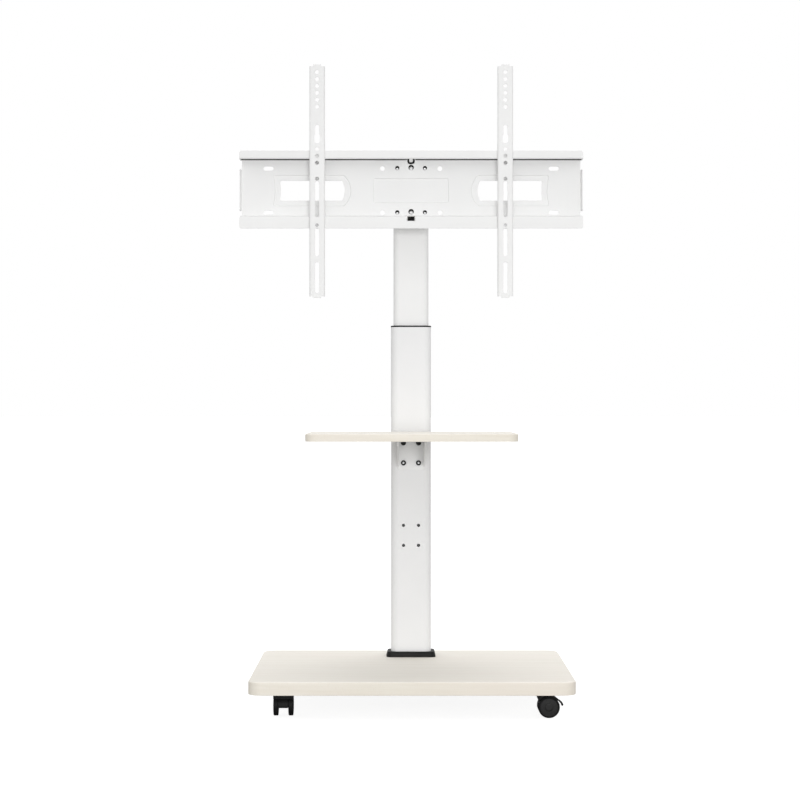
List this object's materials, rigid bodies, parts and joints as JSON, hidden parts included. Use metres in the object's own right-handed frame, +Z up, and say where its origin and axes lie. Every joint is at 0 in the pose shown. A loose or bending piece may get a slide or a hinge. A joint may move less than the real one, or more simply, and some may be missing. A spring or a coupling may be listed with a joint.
{
  "type": "mobile television stand",
  "caption": "Wheeled television stand with a height-adjustable column, wooden base and shelf, and a swivelling wall-plate mount with two sliding hook-on rails.",
  "frame": {"origin": "on the floor under the middle of the base", "axes": "+Z up, the front of the stand and the television side face -Y, +X to the right seen from the front"},
  "size_m": [0.676, 0.44, 1.2455],
  "materials": {
    "white_paint": "satin powder coat",
    "pale_wood": "matt pale oak foil on board",
    "black_plastic": "fine grain",
    "black_steel": "black oxide",
    "zinc_steel": "zinc plated"
  },
  "bodies": {
    "stand": {"base_board": "pale_wood", "backing_plate": "black_steel", "foot_plate": "white_paint", "foot_collar": "black_plastic", "outer_tube": "white_paint", "guide_sleeve": "black_plastic", "shelf_bracket": "white_paint", "shelf_board": "pale_wood", "clamp_screw_1": "black_steel", "clamp_screw_2": "black_steel", "base_bolt_1": "zinc_steel", "base_bolt_2": "zinc_steel", "base_bolt_3": "zinc_steel", "base_bolt_4": "zinc_steel", "bracket_screw_1": "black_steel", "bracket_screw_2": "black_steel", "bracket_screw_3": "black_steel", "bracket_screw_4": "black_steel", "caster_front_left_plate": "zinc_steel", "caster_front_right_plate": "zinc_steel", "caster_back_left_plate": "zinc_steel", "caster_back_right_plate": "zinc_steel"},
    "mast": {"inner_tube": "white_paint", "slide_bush": "black_plastic", "top_cap": "white_paint", "head_bracket": "white_paint"},
    "mount": {"swivel_bracket": "white_paint", "pivot_pin": "black_steel", "pivot_nut": "black_steel", "wall_plate": "white_paint", "plate_bolt_1": "zinc_steel", "plate_bolt_2": "zinc_steel", "plate_bolt_3": "zinc_steel", "plate_bolt_4": "zinc_steel", "plate_bolt_5": "zinc_steel", "plate_bolt_6": "zinc_steel"},
    "rail_left": {"tv_rail_left": "white_paint", "rail_lock_screw_left": "black_steel"},
    "rail_right": {"tv_rail_right": "white_paint", "rail_lock_screw_right": "black_steel"},
    "caster_front_left": {"caster_front_left_hood": "black_plastic", "caster_front_left_axle": "zinc_steel"},
    "caster_front_left_wheel_1": {"caster_front_left_wheel_1": "black_plastic"},
    "caster_front_left_wheel_2": {"caster_front_left_wheel_2": "black_plastic"},
    "caster_front_left_pedal": {"caster_front_left_pedal": "black_plastic"},
    "caster_front_right": {"caster_front_right_hood": "black_plastic", "caster_front_right_axle": "zinc_steel"},
    "caster_front_right_wheel_1": {"caster_front_right_wheel_1": "black_plastic"},
    "caster_front_right_wheel_2": {"caster_front_right_wheel_2": "black_plastic"},
    "caster_front_right_pedal": {"caster_front_right_pedal": "black_plastic"},
    "caster_back_left": {"caster_back_left_hood": "black_plastic", "caster_back_left_axle": "zinc_steel"},
    "caster_back_left_wheel_1": {"caster_back_left_wheel_1": "black_plastic"},
    "caster_back_left_wheel_2": {"caster_back_left_wheel_2": "black_plastic"},
    "caster_back_right": {"caster_back_right_hood": "black_plastic", "caster_back_right_axle": "zinc_steel"},
    "caster_back_right_wheel_1": {"caster_back_right_wheel_1": "black_plastic"},
    "caster_back_right_wheel_2": {"caster_back_right_wheel_2": "black_plastic"}
  },
  "joints": [
    {"name": "column_height", "type": "slide", "parent": "stand", "child": "mast", "axis": [0, 0, 1], "range_m": [-0.05, 0.085]},
    {"name": "mount_swivel", "type": "hinge", "parent": "mast", "child": "mount", "pos_m": [0, 0.103, 1.002], "axis": [0, 0, 1], "range_deg": [-30, 30]},
    {"name": "rail_left_slide", "type": "slide", "parent": "mount", "child": "rail_left", "axis": [1, 0, 0], "range_m": [-0.114, 0.135]},
    {"name": "rail_right_slide", "type": "slide", "parent": "mount", "child": "rail_right", "axis": [1, 0, 0], "range_m": [-0.135, 0.114]},
    {"name": "caster_front_left_swivel", "type": "hinge", "parent": "stand", "child": "caster_front_left", "pos_m": [-0.239, -0.147, 0.048], "axis": [0, 0, 1], "continuous": true},
    {"name": "caster_front_left_wheel_1_spin", "type": "hinge", "parent": "caster_front_left", "child": "caster_front_left_wheel_1", "pos_m": [-0.239, -0.1325, 0.02], "axis": [-1, 0, 0], "continuous": true},
    {"name": "caster_front_left_wheel_2_spin", "type": "hinge", "parent": "caster_front_left", "child": "caster_front_left_wheel_2", "pos_m": [-0.239, -0.1325, 0.02], "axis": [-1, 0, 0], "continuous": true},
    {"name": "caster_front_left_pedal_lift", "type": "hinge", "parent": "caster_front_left", "child": "caster_front_left_pedal", "pos_m": [-0.239, -0.1267, 0.0413], "axis": [1, 0, 0], "range_deg": [0, 16]},
    {"name": "caster_front_right_swivel", "type": "hinge", "parent": "stand", "child": "caster_front_right", "pos_m": [0.239, -0.147, 0.048], "axis": [0, 0, 1], "continuous": true},
    {"name": "caster_front_right_wheel_1_spin", "type": "hinge", "parent": "caster_front_right", "child": "caster_front_right_wheel_1", "pos_m": [0.2535, -0.147, 0.02], "axis": [0, 1, 0], "continuous": true},
    {"name": "caster_front_right_wheel_2_spin", "type": "hinge", "parent": "caster_front_right", "child": "caster_front_right_wheel_2", "pos_m": [0.2535, -0.147, 0.02], "axis": [0, 1, 0], "continuous": true},
    {"name": "caster_front_right_pedal_lift", "type": "hinge", "parent": "caster_front_right", "child": "caster_front_right_pedal", "pos_m": [0.2593, -0.147, 0.0413], "axis": [0, -1, 0], "range_deg": [0, 16]},
    {"name": "caster_back_left_swivel", "type": "hinge", "parent": "stand", "child": "caster_back_left", "pos_m": [-0.239, 0.147, 0.048], "axis": [0, 0, 1], "continuous": true},
    {"name": "caster_back_left_wheel_1_spin", "type": "hinge", "parent": "caster_back_left", "child": "caster_back_left_wheel_1", "pos_m": [-0.239, 0.1615, 0.02], "axis": [-1, 0, 0], "continuous": true},
    {"name": "caster_back_left_wheel_2_spin", "type": "hinge", "parent": "caster_back_left", "child": "caster_back_left_wheel_2", "pos_m": [-0.239, 0.1615, 0.02], "axis": [-1, 0, 0], "continuous": true},
    {"name": "caster_back_right_swivel", "type": "hinge", "parent": "stand", "child": "caster_back_right", "pos_m": [0.239, 0.147, 0.048], "axis": [0, 0, 1], "continuous": true},
    {"name": "caster_back_right_wheel_1_spin", "type": "hinge", "parent": "caster_back_right", "child": "caster_back_right_wheel_1", "pos_m": [0.239, 0.1615, 0.02], "axis": [-1, 0, 0], "continuous": true},
    {"name": "caster_back_right_wheel_2_spin", "type": "hinge", "parent": "caster_back_right", "child": "caster_back_right_wheel_2", "pos_m": [0.239, 0.1615, 0.02], "axis": [-1, 0, 0], "continuous": true}
  ]
}
